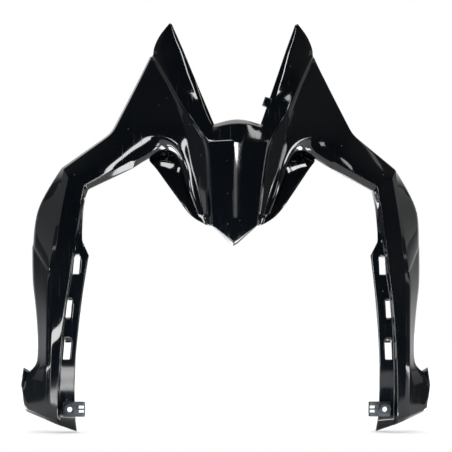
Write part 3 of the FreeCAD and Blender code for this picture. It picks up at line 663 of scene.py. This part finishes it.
# %% Scuffs and dust specks
SCUFF = (0.9, 12, 38)  # millimetres: width, depth and length of a stroke
SCUFF_TURN = (0.0, 0.7, 0.2)  # radians
SCUFF_DULL = 0.16  # what a stroke adds to the roughness
DUST = 8  # millimetres between the places that may hold a speck
SPECK = (0.035, 0.06)  # shares of that distance at which a speck starts to fade and ends
CLEAN = 0.62  # a place whose random grey is below this holds none
stroke = add(tree, "ShaderNodeMapping", {"Vector": place, "Rotation": SCUFF_TURN,
                                         "Scale": tuple(1 / (size * MM) for size in SCUFF)})
scratch = add(tree, "ShaderNodeTexNoise", {"Vector": stroke.outputs[0], "Scale": 1.0, "Detail": 1.0})
scuff = add(tree, "ShaderNodeMapRange", {"Value": scratch.outputs["Fac"], "From Min": 0.66, "From Max": 0.74,
                                         "To Min": 0.0, "To Max": SCUFF_DULL})
cells = add(tree, "ShaderNodeTexVoronoi", {"Vector": place, "Scale": 1 / (DUST * MM)})
speck = add(tree, "ShaderNodeMapRange", {"Value": cells.outputs["Distance"], "From Min": SPECK[0],
                                         "From Max": SPECK[1], "To Min": 1.0, "To Max": 0.0})
chosen = add(tree, "ShaderNodeMath", {0: cells.outputs["Color"], 1: CLEAN}, operation="GREATER_THAN")
dust = add(tree, "ShaderNodeMath", {0: speck.outputs[0], 1: chosen.outputs[0]}, operation="MULTIPLY")
print("scuffs", SCUFF[2], "mm long, specks up to", round(SPECK[1] * DUST, 2), "mm in radius")

# %% Colour, roughness and ripple
RIPPLE, RIPPLE_HEIGHT = 14, 0.12  # millimetres
DUST_DULL = 0.5  # what a speck adds to the roughness
tint = add(tree, "ShaderNodeMix", {0: wander.outputs["Fac"], 6: linear("#03060a"), 7: linear("#080c11")},
           data_type="RGBA")
colour = add(tree, "ShaderNodeMix", {0: dust.outputs[0], 6: tint.outputs[2], 7: linear("#6d7075")},
             data_type="RGBA")
tree.links.new(colour.outputs[2], shader.inputs["Base Color"])
worn = add(tree, "ShaderNodeMath", {0: gloss.outputs[0], 1: scuff.outputs[0]}, operation="ADD")
rough = add(tree, "ShaderNodeMath", {0: dust.outputs[0], 1: DUST_DULL, 2: worn.outputs[0]},
            operation="MULTIPLY_ADD")
tree.links.new(rough.outputs[0], shader.inputs["Roughness"])
ripple = add(tree, "ShaderNodeTexNoise", {"Vector": place, "Scale": 1 / (RIPPLE * MM), "Detail": 1.0})
relief = add(tree, "ShaderNodeBump", {"Height": ripple.outputs["Fac"], "Strength": 0.25,
                                      "Distance": RIPPLE_HEIGHT * MM})
tree.links.new(relief.outputs[0], shader.inputs["Normal"])
for mesh in (cover_mesh, lug_mesh):
    mesh.materials.append(abs_black)
print("ABS:", len(tree.nodes), "nodes")

# %% [markdown]
# ## Clip nut steel
#
# The clip nuts are hardened and phosphated, which leaves a dark grey, slightly mottled metal with a
# dull shine. A cloud pattern of a few millimetres changes its colour and its roughness together.
# Real phosphate crystals are hundredths of a millimetre, so the grain is drawn coarser, to show.

# %% Phosphated spring steel: dark, mottled, half dull
MOTTLE, GRAIN, GRAIN_HEIGHT = 2.5, 0.5, 0.05  # millimetres
DULL = (0.28, 0.5)  # roughness of the shiniest and the dullest places
steel = bpy.data.materials.new("phosphated_spring_steel")
steel.use_nodes = True
tree = steel.node_tree
shader = tree.nodes["Principled BSDF"]
shader.inputs["Metallic"].default_value = 1.0
place = add(tree, "ShaderNodeTexCoord").outputs["Object"]
cloud = add(tree, "ShaderNodeTexNoise", {"Vector": place, "Scale": 1 / (MOTTLE * MM), "Detail": 4.0})
shade = add(tree, "ShaderNodeMix", {0: cloud.outputs["Fac"], 6: linear("#15181c"), 7: linear("#4d5156")},
            data_type="RGBA")
tree.links.new(shade.outputs[2], shader.inputs["Base Color"])
dull = add(tree, "ShaderNodeMapRange", {"Value": cloud.outputs["Fac"], "From Min": 0.3, "From Max": 0.7,
                                        "To Min": DULL[0], "To Max": DULL[1]})
tree.links.new(dull.outputs[0], shader.inputs["Roughness"])
grain = add(tree, "ShaderNodeTexNoise", {"Vector": place, "Scale": 1 / (GRAIN * MM), "Detail": 2.0})
pits = add(tree, "ShaderNodeBump", {"Height": grain.outputs["Fac"], "Strength": 0.2,
                                    "Distance": GRAIN_HEIGHT * MM})
tree.links.new(pits.outputs[0], shader.inputs["Normal"])
for item in threads + loops + clip_nuts:
    item.data.materials.clear()
    item.data.materials.append(steel)
print("steel:", len(tree.nodes), "nodes")

# %% [markdown]
# ## Floor and room
#
# A glossy black part shows hardly any colour of its own: the eye reads it from what it mirrors. So
# the studio is built as the part should see it. The pale floor starts just in front of the part and
# runs far back, the front of the room stays dim, and a bright ceiling and back wall light the floor.
# The camera sees plain white behind the part. The Standard view transform keeps the black deep.

# %% Pale floor
FLOOR_Z = -19.6 * MM
FLOOR_WIDTH, FLOOR_DEPTH, FLOOR_MIDDLE = 0.8, 3.0, 1.33  # metres
paper = bmesh.new()
bmesh.ops.create_grid(paper, x_segments=1, y_segments=1, size=0.5)
bmesh.ops.scale(paper, verts=paper.verts[:], vec=(FLOOR_WIDTH, FLOOR_DEPTH, 1.0))
bmesh.ops.translate(paper, verts=paper.verts[:], vec=(0, FLOOR_MIDDLE, FLOOR_Z))
floor = put("studio_floor", mesh_from(paper, "studio_floor"))
pale = bpy.data.materials.new("pale_paper")
pale.use_nodes = True
shader = pale.node_tree.nodes["Principled BSDF"]
shader.inputs["Base Color"].default_value = linear("#f4f4f4")
shader.inputs["Roughness"].default_value = 0.9
floor.data.materials.append(pale)
print("floor at", round(FLOOR_Z / MM, 1), "mm")

# %% The room: dim in front, bright above and behind, white to the camera
world = bpy.data.worlds.new("soft_studio")
bpy.context.scene.world = world
bpy.context.scene.view_settings.view_transform = "Standard"
world.use_nodes = True
room = world.node_tree
direction = add(room, "ShaderNodeTexCoord").outputs["Generated"]
parts = add(room, "ShaderNodeSeparateXYZ", {"Vector": direction}).outputs
sideways = add(room, "ShaderNodeMath", {0: parts["X"]}, operation="ABSOLUTE").outputs[0]
# what a glow follows, where it starts, where it is full, and its strength
GLOWS = ((sideways, 0.55, 0.95, 0.10), (parts["Y"], 0.35, 0.8, 0.8), (parts["Z"], 0.80, 0.93, 4.6))
DIM = 0.03  # strength of the rest of the room
glow = DIM
for value, start, full, strength in GLOWS:
    ramp = add(room, "ShaderNodeMapRange", {"Value": value, "From Min": start, "From Max": full,
                                            "To Min": 0.0, "To Max": strength},
               interpolation_type="SMOOTHSTEP")
    glow = add(room, "ShaderNodeMath", {0: ramp.outputs[0], 1: glow}, operation="ADD").outputs[0]
seen = add(room, "ShaderNodeLightPath").outputs["Is Camera Ray"]
shine = add(room, "ShaderNodeMix", {0: seen, 2: glow, 3: 1.0}, data_type="FLOAT")
background = room.nodes["Background"]
background.inputs["Color"].default_value = (1, 1, 1, 1)
room.links.new(shine.outputs[0], background.inputs["Strength"])
print("room with", len(GLOWS), "glows")

# %% [markdown]
# ## Soft panels
#
# Soft panels draw the highlights: each stands where a face of the cover mirrors it towards the
# camera. One large soft box would wash all the faces out, so small ones are used: nine around the
# part, and eleven that lie flat at the height of the floor and shine upwards. A panel's power follows
# from its size, so its brightness can be set by itself. The camera doesn't see the panels.

# %% Tables of the soft panels
# name: (azimuth and elevation from the part, width and height in degrees, roll, brightness)
PANELS = {
    "upper_left_panel": (-12, 39, 6, 9, 0, 14.0),
    "upper_right_panel": (31, 35.5, 5, 6, 0, 18.0),
    "ledge_panel": (33, 49, 4, 4, 0, 8.0),
    "low_left_panel": (-24.5, -20, 8, 29, -38, 15.0),
    "low_right_panel": (37.5, -25, 6, 8, 0, 6.0),
    "left_edge_panel": (-62, 1, 4, 22, 0, 2.5),
    "right_edge_panel": (66, 1, 4, 22, 0, 1.5),
    "left_side_panel": (-95, 3, 30, 20, 0, 0.35),
    "right_side_panel": (100, 3, 30, 20, 0, 0.45),
}
# name: (left and right x, front and back y in millimetres on the floor, brightness)
FLOOR_PANELS = {
    "near_left_glow": (-118, -48, -98, 20, 16.0),
    "arm_lip_glow": (-76, -36, -172, -138, 14.0),
    "back_left_glow": (-430, -190, -10, 150, 14.0),
    "side_left_glow": (-420, -380, -390, -200, 16.0),
    "near_right_glow": (82, 118, -115, -30, 16.0),
    "under_right_glow": (118, 150, -60, -30, 16.0),
    "back_right_glow": (190, 360, 40, 160, 14.0),
    "side_right_glow": (420, 500, -270, -90, 14.0),
    "left_foot_glow": (-150, -95, -190, -145, 8.0),
    "beak_band_glow": (28, 40, -380, -280, 2.0),
    "beak_top_glow": (35, 45, -470, -370, 40.0),
}
ROUND_PANELS = {"beak_top_glow"}
print(len(PANELS) + len(FLOOR_PANELS), "soft panels")

# %% Hang the panels
PANEL_DISTANCE = 1.6  # metres
PANEL_AIM = (60, -30, 210)  # millimetres, mirrored for the panels on the left
GLOW_LIFT = 1  # millimetres above the floor


def area_light(name, width, height, brightness, placing):
    """An area light whose power follows from its size and its brightness."""
    data = bpy.data.lights.new(name, "AREA")
    data.shape = "ELLIPSE" if name in ROUND_PANELS else "RECTANGLE"
    data.size, data.size_y = width, height
    data.energy = math.pi * width * height * brightness
    panel = put(name, data)
    panel.matrix_world = placing
    panel.visible_camera = False
    return data.energy


power = 0.0
for name, (azimuth, elevation, width, height, roll, brightness) in PANELS.items():
    target = Vector((math.copysign(PANEL_AIM[0], azimuth), PANEL_AIM[1], PANEL_AIM[2])) * MM
    spread = [2 * PANEL_DISTANCE * math.tan(math.radians(angle) / 2) for angle in (width, height)]
    power += area_light(name, *spread, brightness, facing(target, azimuth, elevation, roll, PANEL_DISTANCE))
for name, (left, right, front, back, brightness) in FLOOR_PANELS.items():
    middle = Vector(((left + right) / 2 * MM, (front + back) / 2 * MM, FLOOR_Z + GLOW_LIFT * MM))
    power += area_light(name, (right - left) * MM, (back - front) * MM, brightness,
                        Matrix.Translation(middle) @ Matrix.Rotation(math.pi, 4, "X"))
print("panels of", round(power, 1), "W together")
